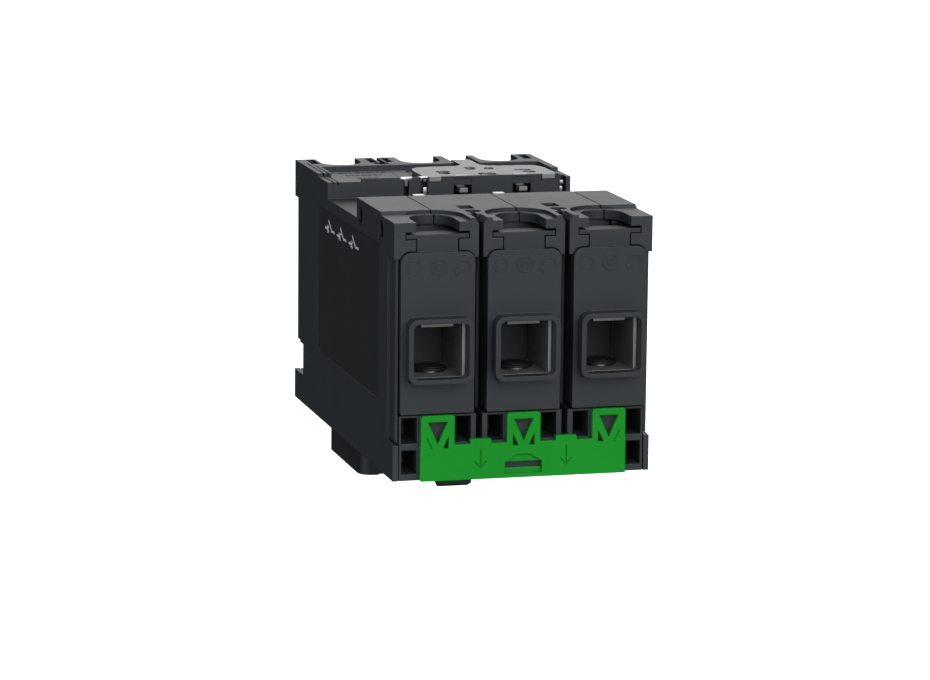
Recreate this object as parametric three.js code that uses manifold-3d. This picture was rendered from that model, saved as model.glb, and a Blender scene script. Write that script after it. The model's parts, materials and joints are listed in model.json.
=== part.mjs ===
// Compact three-pole moulded-case circuit breaker on a DIN-rail clip, built as separate pieces.
//
// Millimetres. The origin is the centre of the rear plane. +X is to the right of someone who faces
// the toggle, +Y points out of the rear towards the rail, and +Z points to the line (supply) end.
// The toggle is modelled down, in the OFF position, so the contact arms are open.

import * as THREE from "three";
import { mergeVertices } from "three/addons/utils/BufferGeometryUtils.js";
import Module from "manifold-3d";

const wasm = await Module();
wasm.setup();

// ---------------------------------------------------------------------------------------------
// Driving dimensions
// ---------------------------------------------------------------------------------------------

const GAP = 0.3;                       // clearance between neighbouring pieces
const POLES = [-27, 0, 27];            // pole centres
const BETWEEN = [-13.5, 13.5];         // planes between poles
const SIDES = [-1, 1];

const CASE = { halfW: 40.5, depth: 80, halfL: 68.5 };
const RAIL = { half: 20, floor: 6.3 };             // channel for a 35 mm rail
const HEAD = { step: 52.5, bevel: 50.5, low: 1, depth: 12 };
const WALL = { end: 60.5, loadEnd: 55.9, out: 38.8, in: 38 };
const FOOT = { lineTop: 68, loadTop: 70.4 };

const FLANGE = { thick: 0.9, reach: 67.5, start: 59 };   // outer edges that close the end bays
const PANEL = { front: -58, rear: -10, low: -34.5, top: 49.5, corner: 7, depth: 0.8 };
const SIDE_HOLES = [[-5, 24.7], [-5.4, 51.9]];     // (Y, Z)
const SIDE_HOLE = { r: 3.15, depth: 9 };
const POST_POCKET = { left: 1.6, right: 3, z0: 43, z1: 50.3, depth: 3 };
const RIM_GROOVES = [{ x: -37.4, far: -52 }, { x: -38.9, far: -60 }];
const RIM_GROOVE = { width: 0.5, depth: 2 };
const WALL_SLOTS = [[-15.5, -13.7], [-9.8, -7.5], [36.8, 39]];
const CASE_SCREW = { x: 34.6, z: 40.6, postR: 2.8, webHalf: 2.6, hole: 1.7, seatR: 3.1, seat: 3.2 };

const CAVITY = { rear: 14, half: 44, front: 44 };  // pole chambers; their dividers end at front
const DIVIDER = { half: 0.9 };
const BAY = { z: 45.8, halfW: 11.8, rear: 9.7, front: 59.7, r: 3.3 };
const BARRIER = { half: 0.75, z: 48.5, headZ: 56 };

const NOTCH = { r: 6.7, z: 60, rim: 10 };
const SEAM = { offset: 2.4, half: 0.2, depth: 0.5 };  // joint line between the case halves
const TEE = { half: 10, stem: 6.65, rear: 3.9, front: 6.3, z: 60.2, deepZ: 52.6 };
const MOUNT_HOLE = { offset: 1, r: 2.6, depth: 3.5, z: 54.6 };

const COVER = { halfW: 38.5, halfL: 68.2, rear: 60, skin: 2.5, inW: 36.4, inL: 43.6 };
const ACCESS = { half: 5, corner: 0.5, z: 59 };    // square wells down to the lug screws
const POCKET = { x0: 5.9, x1: 10.9, y0: 60.6, y1: 68.6, z: 52 };
const RUNNER = { half: 1.3, depth: 2.2, top: 70 };

const NOSE = { halfW: 39.5, halfL: 22.5, front: 88, r: 4.5, skin: 2 };
const WINDOW = { halfW: 6.6, halfL: 14.5, bevel: 2.4 };
const BUTTON = { x: 20, z: -14, capR: 2.5, rodR: 1.2, travel: 2.5 };

const LUG = { halfW: 11.5, rear: 10, front: 59.4, z0: 46.1, z1: 69.5, r: 3 };
const BEZEL = { outX: 10.15, outY: 9.95, inX: 8.65, inY: 8.5, y: -39.5, z: 74.5, r: 3, inR: 1.8 };
const CAGE = { halfW: 8.5, inW: 7.5, rear: 30.3, front: 49.3, inRear: 31.3, inFront: 48, z0: 47, z1: 70 };
const BOSS = { front: 51.8, z1: 66 };              // thicker, threaded part of the cage's front wall
const TONGUE = { rear: 31.7, front: 32.9, half: 4.5, wide: 5.1, step: 47.4, end: 68.8 };
const SCREW = { r: 3.5, hole: 3.6, front: 58.5, tip: 47.6, hex: 2 };
const PAD = { r: 5.5, thick: 1 };

const LOCK = { halfW: 32.4, z0: 68.5, z1: 70.5, top: 69, bottom: 80, tabTop: 59.8, tabHalf: 5.25 };
const FIELD = { left: -36, right: 38, far: -50, depth: 1.5, lip: 0.9 };
const RAMP = { left: -38, right: -29.5, low: 1 };  // where the field runs out into the channel
const RIM = { step: -34.6, low: 1 };               // both rims drop by one step near the channel
const POST_PITS = {                                // in the load head, beside its notches
  x: [[-37.4, -34.6], [-17.5, -15.2], [-12, -9.8], [35.2, 38.2]], z0: -67.7, z1: -57, depth: 2.8,
};
const CLIP = { thick: 1.6, left: -8.6, right: 36, near: -21.2, low: -43.4, travel: 5 };
const TAIL = { x0: 10.4, x1: 16.6, end: -58.6 };   // pull tab of the rail clip
const TAIL_CHANNEL = { x0: 9.6, x1: 18 };
const CLIP_HOLES = [                               // two keyholes, two short slots, a half-round
  [[-0.2, -26.8, 1.9], [0.3, -31, 2.4]],
  [[11, -35.6, 1.6], [11.4, -38.8, 1.9]],
  [[17.1, -35.6, 1.6], [17.5, -37, 1.6]],
  [[26, -31.4, 1.5], [28.2, -31, 2]],
  [[28.3, -26.3, 2.2]],
  [[13.4, -24, 3], [13.4, -20, 3.6]],
];
const HOOKS = [                                    // they go under the rail's lower edge
  { window: [1.2, 7.2], tongue: [2.4, 5.1] },
  { window: [21, 27.1], tongue: [22.3, 25] },
];
const TABS = [[-6.9, -2.9], [30.9, 35.3]];           // bent stiffening tabs at the clip's near edge
const TAB = { low: -1.6, near: -20.05 };
const HOOK = { tip: -16.9, low: -4.9, thick: 1.4, windowTop: -2.95, panelTop: -0.7 };
const CLAW = { centres: [-20.2, 5.7], half: 1.65, tip: 16.5, rear: -0.2, front: -3.6 };
const SPRING = { x: 13.5, y: -3.7, z: -51.4, length: 11.4, r: 1.7, wire: 0.35 };

const PIVOT = { y: -58, z: -2.5 };                    // toggle and yoke
const TOGGLE = { off: 17, inner: 19, tip: 44.3, halfW: 5.8, shield: 26.5, shieldSpan: 44 };
const CROSSBAR = { y: -34, z: -8, r: 4.5, halfL: 36, open: 25 };
const ARM = { half: 1.8, length: 28 };
const TRIP = { y: -46, z: -20, half: 2, halfL: 36 };

const SADDLE = { front: -48.5, z0: -26, z1: -16.6, seat: 3.1 };      // carries the trip bar
const CHUTE = { plates: 7, first: -30, pitch: 4, halfW: 9.4, card: 10.4, z0: 14, z1: 36.3 };
const SHEET = 1.2;                                    // plates of the mechanism's frame
const FRAME = { in: 9.2, foot: 14.2, rear: -44.3, front: -70, low: -16, high: 12.5, pin: 1.8 };
const LATCH = { y: -50, z: 5, pin: 1.3, hole: 1.6, x0: 3, x1: 5.4 };  // the cradle's own pivot
const CRADLE_OUTLINE = [                              // (Y, Z)
  [-47, 3], [-49, 7.5], [-53, 7], [-60, 1], [-66, -6], [-65, -10], [-62, -10.5], [-61.5, -7.5],
  [-57, -4], [-50, 1],
];
const STRAP = { half: 4.5, thick: 2 };                // copper straps inside the case

const PLASTIC = { color: 0x34383b, roughness: 0.55, metalness: 0 };
const BLACK = { color: 0x1b1d1f, roughness: 0.5, metalness: 0 };
const GREEN = { color: 0x1b9132, roughness: 0.45, metalness: 0 };
const LABEL = { color: 0x232729, roughness: 0.4, metalness: 0 };
const STEEL = { color: 0xaeb1b3, roughness: 0.35, metalness: 1 };
const ZINC = { color: 0x8d9194, roughness: 0.4, metalness: 1 };
const COPPER = { color: 0xb8734a, roughness: 0.4, metalness: 1 };
const SILVER = { color: 0xc9c9c4, roughness: 0.3, metalness: 1 };

// ---------------------------------------------------------------------------------------------
// Solids
// ---------------------------------------------------------------------------------------------

function solid(geometry) {
  const bare = geometry.index ? geometry.toNonIndexed() : geometry.clone();
  bare.deleteAttribute("normal");
  bare.deleteAttribute("uv");
  const merged = mergeVertices(bare, 1e-4);
  return new wasm.Manifold(new wasm.Mesh({
    numProp: 3,
    vertProperties: new Float32Array(merged.attributes.position.array),
    triVerts: new Uint32Array(merged.index.array),
  }));
}

function joined(parts) {
  return parts.reduce((whole, part) => whole.add(part));
}

function cut(body, tools) {
  return tools.reduce((left, tool) => left.subtract(tool), body);
}

function box(x0, x1, y0, y1, z0, z1) {
  const geometry = new THREE.BoxGeometry(Math.abs(x1 - x0), Math.abs(y1 - y0), Math.abs(z1 - z0));
  geometry.translate((x0 + x1) / 2, (y0 + y1) / 2, (z0 + z1) / 2);
  return solid(geometry);
}

// A round bar between two stations of one axis; a and b are its centre on the other two axes,
// in X, Y, Z order.
function bar(axis, a, b, from, to, r, sides = 24) {
  const geometry = new THREE.CylinderGeometry(r, r, Math.abs(to - from), sides);
  const middle = (from + to) / 2;
  if (axis === "x") {
    geometry.rotateZ(Math.PI / 2);
    geometry.translate(middle, a, b);
  } else if (axis === "y") {
    geometry.translate(a, middle, b);
  } else {
    geometry.rotateX(Math.PI / 2);
    geometry.translate(a, b, middle);
  }
  return solid(geometry);
}

const BARE = { bevelEnabled: false, curveSegments: 3 };

// Outline drawn as (Y, Z), drawn out along X.
function alongX(shape, x0, x1) {
  const geometry = new THREE.ExtrudeGeometry(shape, { ...BARE, depth: x1 - x0 });
  geometry.applyMatrix4(new THREE.Matrix4().set(0, 0, 1, x0, 1, 0, 0, 0, 0, 1, 0, 0, 0, 0, 0, 1));
  return solid(geometry);
}

// Outline drawn as (X, Z), drawn out along Y.
function alongY(shape, y0, y1) {
  const geometry = new THREE.ExtrudeGeometry(shape, { ...BARE, depth: y1 - y0 });
  geometry.rotateX(Math.PI / 2);
  geometry.translate(0, y1, 0);
  return solid(geometry);
}

// Outline drawn as (X, Y), drawn out along Z.
function alongZ(shape, z0, z1) {
  const geometry = new THREE.ExtrudeGeometry(shape, { ...BARE, depth: z1 - z0 });
  geometry.translate(0, 0, z0);
  return solid(geometry);
}

function outline(points) {
  return new THREE.Shape(points.map(([u, v]) => new THREE.Vector2(u, v)));
}

// Rectangle with its own radius at each corner: low-low, high-low, high-high, low-high.
function rounded(u0, u1, v0, v1, radii) {
  const [a, b, c, d] = Array.isArray(radii) ? radii : [radii, radii, radii, radii];
  const shape = new THREE.Shape();
  shape.moveTo(u0 + a, v0);
  shape.lineTo(u1 - b, v0);
  shape.absarc(u1 - b, v0 + b, b, -Math.PI / 2, 0);
  shape.lineTo(u1, v1 - c);
  shape.absarc(u1 - c, v1 - c, c, 0, Math.PI / 2);
  shape.lineTo(u0 + d, v1);
  shape.absarc(u0 + d, v1 - d, d, Math.PI / 2, Math.PI);
  shape.lineTo(u0, v0 + a);
  shape.absarc(u0 + a, v0 + a, a, Math.PI, 1.5 * Math.PI);
  return shape;
}

// Closed coil spring of round wire about +Z, from z0 to z1.
function coil(r, wire, turns, z0, z1) {
  class Helix extends THREE.Curve {
    getPoint(t, target = new THREE.Vector3()) {
      const angle = t * turns * 2 * Math.PI;
      return target.set(r * Math.cos(angle), r * Math.sin(angle), z0 + (z1 - z0) * t);
    }
  }
  const section = new THREE.Shape().absarc(0, 0, wire, 0, 2 * Math.PI);
  return solid(new THREE.ExtrudeGeometry(section, {
    steps: turns * 8,
    curveSegments: 3,
    bevelEnabled: false,
    extrudePath: new Helix(),
  }));
}

function node(name, body, paint, place = {}) {
  const { vertProperties, triVerts } = body.getMesh();
  const geometry = new THREE.BufferGeometry();
  geometry.setAttribute("position", new THREE.BufferAttribute(new Float32Array(vertProperties), 3));
  geometry.setIndex(new THREE.BufferAttribute(new Uint32Array(triVerts), 1));
  const flat = geometry.toNonIndexed();
  flat.computeVertexNormals();
  const mesh = new THREE.Mesh(flat, new THREE.MeshStandardMaterial(paint));
  mesh.name = name;
  mesh.position.set(place.x ?? 0, place.y ?? 0, place.z ?? 0);
  mesh.rotation.set(place.turnX ?? 0, place.turnY ?? 0, 0);
  return mesh;
}

// ---------------------------------------------------------------------------------------------
// Case
// ---------------------------------------------------------------------------------------------

function caseOutline() {
  const { depth, halfL } = CASE;
  return outline([
    [0, RAIL.half], [0, halfL], [-HEAD.depth, halfL], [-HEAD.depth, WALL.end],
    [-FOOT.lineTop, WALL.end], [-FOOT.lineTop - 1, halfL - 1], [-FOOT.lineTop - 1, halfL],
    [-depth, halfL], [-depth, -halfL], [-FOOT.loadTop, -halfL], [-FOOT.loadTop, -WALL.loadEnd],
    [-COVER.rear, -WALL.loadEnd], [-COVER.rear, -WALL.end], [-HEAD.depth, -WALL.end], [-HEAD.depth, -halfL],
    [0, -halfL], [0, -RAIL.half], [-RAIL.floor, -RAIL.half], [-RAIL.floor, RAIL.half],
  ]);
}

// Cuts in the head over one terminal, in the frame of the line end. Only the line end has a rim.
function headCuts(x, rimmed) {
  const round = bar("y", x, NOTCH.z, -BAY.rear - 1, 1, NOTCH.r, 28);
  const mouth = box(x - NOTCH.r, x + NOTCH.r, -BAY.rear - 1, 1, NOTCH.z, CASE.halfL + 1);
  const rim = bar("y", x, NOTCH.z, -HEAD.low, 1, NOTCH.rim, 40);
  const rimMouth = box(x - NOTCH.rim, x + NOTCH.rim, -HEAD.low, 1, NOTCH.z, CASE.halfL + 1);
  const bar1 = box(x - TEE.half, x + TEE.half, -TEE.front, -TEE.rear, TEE.deepZ, CASE.halfL + 1);
  const stem = box(x - TEE.stem, x + TEE.stem, -BAY.rear - 1, -TEE.rear, TEE.z, CASE.halfL + 1);
  return [round, mouth, bar1, stem, ...(rimmed ? [rim, rimMouth] : [])];
}

// Cuts at one end of the case, in the frame of the line end.
function endCuts(rimmed) {
  const cuts = [];
  for (const x of POLES) {
    const bay = rounded(x - BAY.halfW, x + BAY.halfW, -BAY.front, -BAY.rear, [0, 0, BAY.r, BAY.r]);
    cuts.push(alongZ(bay, BAY.z, CASE.halfL + 1));
    const slit = TONGUE.half + GAP;
    const [y0, y1] = [-TONGUE.front - GAP, -TONGUE.rear + GAP];
    cuts.push(box(x - slit, x + slit, y0, y1, CAVITY.half - 1, BAY.z + 1));
    cuts.push(...headCuts(x, rimmed));
  }
  for (const x of BETWEEN) {
    const { half, z, headZ } = BARRIER;
    cuts.push(box(x - half, x + half, -BAY.front - 1, -HEAD.depth, z, CASE.halfL + 1));
    cuts.push(box(x - half, x + half, -HEAD.depth - 1, 1, headZ, CASE.halfL + 1));
    if (rimmed) {
      const flare = outline([[x - 1.9, 0.1], [x - half, -1.8], [x + half, -1.8], [x + 1.9, 0.1]]);
      cuts.push(alongZ(flare, NOTCH.z, CASE.halfL + 1));
    }
  }
  cuts.push(box(-WALL.out, WALL.out, -CASE.depth - 1, -BAY.front, 0, CASE.halfL + 1));
  return cuts;
}

// The outer strips of the line head lie one step lower than the posts between the poles.
function headStrips() {
  const strip = outline([
    [-HEAD.low, CASE.halfL + 1], [1, CASE.halfL + 1], [1, HEAD.bevel], [0, HEAD.bevel],
    [-HEAD.low, HEAD.step],
  ]);
  const [left, right] = [POLES[0] + SEAM.offset, POLES[2] + SEAM.offset];
  return [alongX(strip, right, CASE.halfW + 1), alongX(strip, -CASE.halfW - 1, left)];
}

function poleChambers() {
  const open = box(-WALL.in, WALL.in, -CASE.depth - 1, -CAVITY.front, -CAVITY.half, CAVITY.half);
  const edges = [-WALL.in, ...BETWEEN, WALL.in];
  const chambers = [open];
  for (let i = 0; i < 3; i += 1) {
    const left = edges[i] + (i === 0 ? 0 : DIVIDER.half);
    const right = edges[i + 1] - (i === 2 ? 0 : DIVIDER.half);
    chambers.push(box(left, right, -CAVITY.front - 1, -CAVITY.rear, -CAVITY.half, CAVITY.half));
  }
  const r = CROSSBAR.r + 0.6;
  chambers.push(bar("x", CROSSBAR.y, CROSSBAR.z, -20, 20, r));
  chambers.push(box(-20, 20, -50, CROSSBAR.y, CROSSBAR.z - r, CROSSBAR.z + r));
  return chambers;
}

// Saddles on the dividers that carry the trip bar.
function tripSaddles() {
  return BETWEEN.map((x) => {
    const { front, z0, z1, seat: r } = SADDLE;
    const horn = box(x - DIVIDER.half, x + DIVIDER.half, front, -CAVITY.front + 1, z0, z1);
    const seat = bar("x", TRIP.y, TRIP.z, x - 2, x + 2, r);
    return cut(horn, [seat, box(x - 2, x + 2, front - 1, TRIP.y, TRIP.z - r, TRIP.z + r)]);
  });
}

function screwPosts() {
  return caseScrewPlaces().map(([x, z]) => {
    const [y0, y1] = [-COVER.rear + GAP, -CAVITY.rear + 1];
    const { postR, webHalf } = CASE_SCREW;
    const post = bar("y", x, z, y0, y1, postR, 16);
    const web = box(x, Math.sign(x) * (WALL.in + 0.5), y0, y1, z - webHalf, z + webHalf);
    return post.add(web);
  });
}

function caseScrewPlaces() {
  const { x, z } = CASE_SCREW;
  return [[-x, z], [x, z], [-x, -z], [x, -z]];
}

// Sunken field of the load-end block, with the two rims beside it.
function loadField() {
  const { left, right, far, depth, lip } = FIELD;
  const edge = -RAIL.half;
  const { halfW } = CASE;
  return [
    box(left, right, -depth, 1, far, edge - lip),
    box(RAMP.left, RAMP.right, -RAMP.low, 1, edge - lip - 1, edge + 1),
    box(-halfW - 1, left + 0.1, -RIM.low, 1, RIM.step, edge + 1),
    box(right - 0.1, halfW + 1, -RIM.low, 1, RIM.step, edge + 1),
    box(TAIL_CHANNEL.x0, TAIL_CHANNEL.x1, -CLIP.thick - GAP, 1, -CASE.halfL - 1, far + 1),
    ...POST_PITS.x.map(([x0, x1]) => box(x0, x1, -POST_PITS.depth, 1, POST_PITS.z0, POST_PITS.z1)),
  ];
}

// Recesses of the rail clip and its spring, in the rear of the load-end block.
function clipRecesses() {
  const sheet = -CLIP.thick - GAP;
  const lip = -RAIL.half - FIELD.lip;
  const plate = alongY(clipOutline(0.7, CLIP.travel), sheet, 1);
  const cuts = [plate.trimByPlane([0, 0, -1], -lip)];
  const back = CLIP.near - CLIP.travel - 3;
  const floor = -RAIL.floor + 0.1;
  for (const { window: [x0, x1] } of HOOKS) {
    // A thin web stays in front of each hook, over its window.
    cuts.push(box(x0, x1, floor, 1, back, lip));
    cuts.push(box(x0, x1, floor, HOOK.windowTop, back, -RAIL.half + 1));
    cuts.push(box(x0, x1, floor, HOOK.panelTop, -RAIL.half - 0.2, -RAIL.half + 1));
  }
  for (const [x0, x1] of TABS) {
    cuts.push(box(x0 - GAP, x1 + GAP, TAB.low - GAP, 1, back, -RAIL.half + 1));
  }
  const { x, y, z, length, r } = SPRING;
  const half = r + 1;
  cuts.push(box(x - half, x + half, y - half + 0.6, 0, z - GAP, z + length + 2.6));
  return cuts;
}

// Fixed claws that hold the rail's upper edge.
function railClaws() {
  const { centres, half, tip, rear, front } = CLAW;
  return centres.map((x) => box(x - half, x + half, front, rear, tip, RAIL.half + 1));
}

function railWallSlots() {
  return WALL_SLOTS.map(([x0, x1]) => box(x0, x1, -RAIL.floor + 0.1, 1, -24, -RAIL.half + 1));
}

function panelShape(side) {
  // (Y, Z); the inlay's lower front corner is rounded.
  const { front, rear, low, top, corner } = PANEL;
  return rounded(front, rear, low, top, side < 0 ? [corner, 0.4, 0.4, 1] : 1);
}

function sideDetails() {
  const cuts = [];
  for (const side of SIDES) {
    const face = side * CASE.halfW;
    const x0 = Math.min(face, face - side * PANEL.depth);
    cuts.push(alongX(panelShape(side), x0, x0 + PANEL.depth));
    for (const [y, z] of SIDE_HOLES) {
      cuts.push(bar("x", y, z, face + side, face - side * SIDE_HOLE.depth, SIDE_HOLE.r, 20));
    }
  }
  return cuts;
}

function rearDetails() {
  const cuts = [];
  for (const x of POLES) {
    const [x0, x1] = [x + SEAM.offset - SEAM.half, x + SEAM.offset + SEAM.half];
    cuts.push(box(x0, x1, -HEAD.low - SEAM.depth, 1, RAIL.half, NOTCH.z));
    cuts.push(box(x0, x1, -TEE.rear, 1, NOTCH.z - NOTCH.r - SEAM.depth, NOTCH.z));
  }
  const { offset, r, depth, z } = MOUNT_HOLE;
  for (const x of BETWEEN) {
    const { left, right, z0, z1 } = POST_POCKET;
    cuts.push(box(x - left, x + right, -POST_POCKET.depth, 1, z0, z1));
    cuts.push(bar("y", x + offset, z, -depth, 1, r, 20));
  }
  // The rail clip's tail covers the other place at the load end.
  cuts.push(bar("y", BETWEEN[0] - offset, -z, -depth, 1, r, 20));
  for (const { x, far } of RIM_GROOVES) {
    cuts.push(box(x, x + RIM_GROOVE.width, -RIM_GROOVE.depth, 1, far, -RAIL.half + 1));
  }
  return cuts;
}

function baseCase() {
  let body = alongX(caseOutline(), -CASE.halfW, CASE.halfW);
  body = cut(body, [...endCuts(true), ...endCuts(false).map((tool) => tool.rotate([0, 180, 0]))]);
  body = cut(body, [...poleChambers(), ...headStrips(), ...loadField()]);
  body = cut(body, [...clipRecesses(), ...railWallSlots()]);
  body = cut(body, [...sideDetails(), ...rearDetails()]);
  body = joined([body, ...tripSaddles(), ...screwPosts(), ...railClaws()]);
  const flanges = [];
  for (const side of SIDES) {
    const [a, b] = [side * (WALL.out + 0.05), side * (WALL.out + FLANGE.thick)];
    const [x0, x1] = [Math.min(a, b), Math.max(a, b)];
    flanges.push(box(x0, x1, -FOOT.lineTop, -HEAD.depth, FLANGE.start, FLANGE.reach));
    flanges.push(box(x0, x1, -COVER.rear, -HEAD.depth, -FLANGE.reach, -FLANGE.start));
  }
  body = joined([body, ...flanges]);
  return cut(body, caseScrewPlaces().map(([x, z]) => bar("y", x, z, -62, -48, CASE_SCREW.hole, 12)));
}

function accessWell(x, y0, y1) {
  const { half, corner, z } = ACCESS;
  return alongY(rounded(x - half, x + half, z - half, z + half, corner), y0, y1);
}

// Pockets and grooves at one end of the cover, in the frame of the line end.
function coverEndCuts() {
  const cuts = [];
  const z1 = COVER.halfL + 1;
  for (const x of POLES) {
    cuts.push(accessWell(x, -CASE.depth - 1, -COVER.rear + 1));
    for (const side of SIDES) {
      const [a, b] = [x + side * POCKET.x0, x + side * POCKET.x1];
      cuts.push(box(Math.min(a, b), Math.max(a, b), -POCKET.y1, -POCKET.y0, POCKET.z, z1));
    }
  }
  for (const side of SIDES) {
    const [a, b] = [side * 33, side * 37.8];
    cuts.push(box(Math.min(a, b), Math.max(a, b), -78, -70.6, POCKET.z, z1));
    const groove = side * BETWEEN[1];
    const half = RUNNER.half + GAP;
    const depth = COVER.halfL - RUNNER.depth - 2 * GAP;
    cuts.push(box(groove - half, groove + half, -CASE.depth - 1, -RUNNER.top + GAP, depth, z1));
    cuts.push(box(groove - 1, groove + 1, -POCKET.y1 - 0.5, -COVER.rear + 1, BARRIER.headZ, z1));
  }
  return cuts;
}

function frontCover() {
  const { halfW, halfL, rear, skin, inW, inL } = COVER;
  let body = box(-halfW, halfW, -CASE.depth, -rear, -halfL, halfL);
  body = cut(body, [box(-inW, inW, -CASE.depth + skin, -rear + 1, -inL, inL)]);
  // The load end's outer corners are set back behind its feet.
  for (const side of SIDES) {
    const [a, b] = [side * (POLES[2] + POCKET.x0), side * (halfW + 1)];
    const [y0, y1] = [-FOOT.loadTop, -rear + 1];
    body = cut(body, [box(Math.min(a, b), Math.max(a, b), y0, y1, -halfL - 1, -WALL.loadEnd)]);
  }
  const ends = coverEndCuts();
  body = cut(body, [...ends, ...ends.map((tool) => tool.rotate([0, 180, 0]))]);
  const posts = caseScrewPlaces().map(([x, z]) => {
    const side = Math.sign(x);
    return bar("y", x, z, -CASE.depth, -rear, 3.6, 16).intersect(box(-halfW, halfW, -90, 0, -50, 50))
      .add(box(Math.min(x, side * inW), Math.max(x, side * inW), -CASE.depth, -rear, z - 3, z + 3));
  });
  body = joined([body, ...posts]);
  body = cut(body, [box(-30, 30, -90, -rear, -21, 21)]);
  return cut(body, caseScrewPlaces().flatMap(([x, z]) => [
    bar("y", x, z, -90, -rear + 1, CASE_SCREW.hole, 12),
    bar("y", x, z, -90, -CASE.depth + CASE_SCREW.seat, CASE_SCREW.seatR, 16),
  ]));
}

function noseCover() {
  const { halfW, halfL, front, r, skin } = NOSE;
  const rear = -CASE.depth - GAP;
  const shell = alongY(rounded(-halfW, halfW, -halfL, halfL, r), -front, rear);
  const hollow = alongY(
    rounded(-halfW + skin, halfW - skin, -halfL + skin, halfL - skin, r - skin), -front + skin, rear + 1);
  const [low, high] = [PIVOT.z - WINDOW.halfL, PIVOT.z + WINDOW.halfL];
  const window = box(-WINDOW.halfW, WINDOW.halfW, -front - 1, rear + 1, low, high);
  const bevel = alongX(outline([
    [-front - 1, low - WINDOW.bevel], [-front - 1, high + WINDOW.bevel], [-front + 1.4, high],
    [-front + 1.4, low],
  ]), -WINDOW.halfW, WINDOW.halfW);
  const button = bar("y", BUTTON.x, BUTTON.z, -front - 1, rear + 1, BUTTON.capR + GAP, 20);
  const ridge = box(-halfW + 6, halfW - 6, -front - 1, -front + 0.5, halfL - 1.2, halfL + 1);
  const foot = box(-halfW + 6, halfW - 6, -front - 1, -front + 0.5, -halfL - 1, -halfL + 1.2);
  return cut(shell, [hollow, window, bevel, button, ridge, foot]);
}

function sideLabel(side) {
  const inner = side * (CASE.halfW - 0.5);
  const outer = side * (CASE.halfW - 0.1);
  const shape = panelShape(side);
  const { front, rear, low, top } = PANEL;
  const centre = { y: (front + rear) / 2, z: (low + top) / 2 };
  const slack = 0.1;
  const scale = { y: 1 - 2 * slack / (rear - front), z: 1 - 2 * slack / (top - low) };
  const body = alongX(shape, Math.min(inner, outer), Math.max(inner, outer));
  return body.translate([0, -centre.y, -centre.z]).scale([1, scale.y, scale.z])
    .translate([0, centre.y, centre.z]);
}

// ---------------------------------------------------------------------------------------------
// Terminals, in the frame of the line end with X = 0 at the pole
// ---------------------------------------------------------------------------------------------

function lugHousing() {
  const { halfW, rear, front, z0, z1, r } = LUG;
  const block = alongZ(rounded(-halfW, halfW, -front, -rear, [0.6, 0.6, r, r]), z0, z1);
  const ringOutline = rounded(
    -BEZEL.outX, BEZEL.outX, BEZEL.y - BEZEL.outY, BEZEL.y + BEZEL.outY, BEZEL.r);
  const ring = alongZ(ringOutline, z1 - 1, BEZEL.z);
  // Guide that slides in the head's T-slot; its inner edge is an arc.
  const flange = new THREE.Shape();
  const face = CASE.halfL - 0.2;
  flange.moveTo(-TEE.half + GAP, face);
  flange.lineTo(-TEE.half + GAP, face - 3);
  flange.quadraticCurveTo(0, face - 12, TEE.half - GAP, face - 3);
  flange.lineTo(TEE.half - GAP, face);
  const guide = alongY(flange, -TEE.front + GAP, -TEE.rear - 0.8);
  const stem = box(-TEE.stem + GAP, TEE.stem - GAP, -rear - 1, -TEE.front + GAP + 0.1, face - 5, face);
  const roomW = CAGE.halfW + GAP;
  const cageRoom = box(-roomW, roomW, -CAGE.front - GAP, -CAGE.rear + GAP, z0 - 1, CAGE.z1 + GAP);
  const bossRoom = box(-roomW, roomW, -BOSS.front - GAP, -CAGE.front, z0 - 1, BOSS.z1 + GAP);
  const portOutline = rounded(
    -BEZEL.inX, BEZEL.inX, BEZEL.y - BEZEL.inY, BEZEL.y + BEZEL.inY, BEZEL.inR);
  const port = alongZ(portOutline, CAGE.z1, BEZEL.z + 1);
  const driver = accessWell(0, -front - 1, -CAGE.front);
  return cut(joined([block, ring, guide, stem]), [cageRoom, bossRoom, port, driver]);
}

function lugCage() {
  const { halfW, inW, rear, front, inRear, inFront, z0, z1 } = CAGE;
  const tube = box(-halfW, halfW, -front, -rear, z0, z1);
  const boss = box(-halfW, halfW, -BOSS.front, -front + 0.5, z0 + 5, BOSS.z1);
  const inside = box(-inW, inW, -inFront, -inRear, z0 - 1, z1 + 1);
  const thread = bar("y", 0, ACCESS.z, -BOSS.front - 1, -inFront + 1, SCREW.hole, 24);
  return cut(tube.add(boss), [inside, thread]);
}

function lugScrew() {
  // Local origin on the screw's axis, at its tip.
  const length = SCREW.front - SCREW.tip;
  const shank = bar("y", 0, 0, -length + 0.6, 0, SCREW.r, 20);
  const end = bar("y", 0, 0, -length, -length + 0.7, SCREW.r - 0.5, 20);
  const socket = bar("y", 0, 0, -length - 1, -length + 4, SCREW.hex, 6);
  return cut(shank.add(end), [socket]);
}

function lugPad() {
  const disc = bar("y", 0, 0, 0, PAD.thick - 0.3, PAD.r, 20);
  const dome = bar("y", 0, 0, PAD.thick - 0.4, PAD.thick, PAD.r - 1.4, 20);
  return disc.add(dome);
}

// Flat copper end that the cable is clamped to; it is wider inside the cage.
function tongue(z0) {
  const { rear, front, half, wide, step, end } = TONGUE;
  const neck = box(-half, half, -front, -rear, z0, step + 0.2);
  return neck.add(box(-wide, wide, -front, -rear, step, end));
}

function lineContact() {
  const { half, thick } = STRAP;
  const riser = box(-half, half, -TONGUE.front, -20, 37.6, 39.8);
  const strap = box(-half, half, -20 - thick, -20, 15, 39);
  const tip = box(-2.6, 2.6, -23.4, -21.8, 17.4, 22.4);
  return joined([tongue(39.5), riser, strap, tip]);
}

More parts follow.
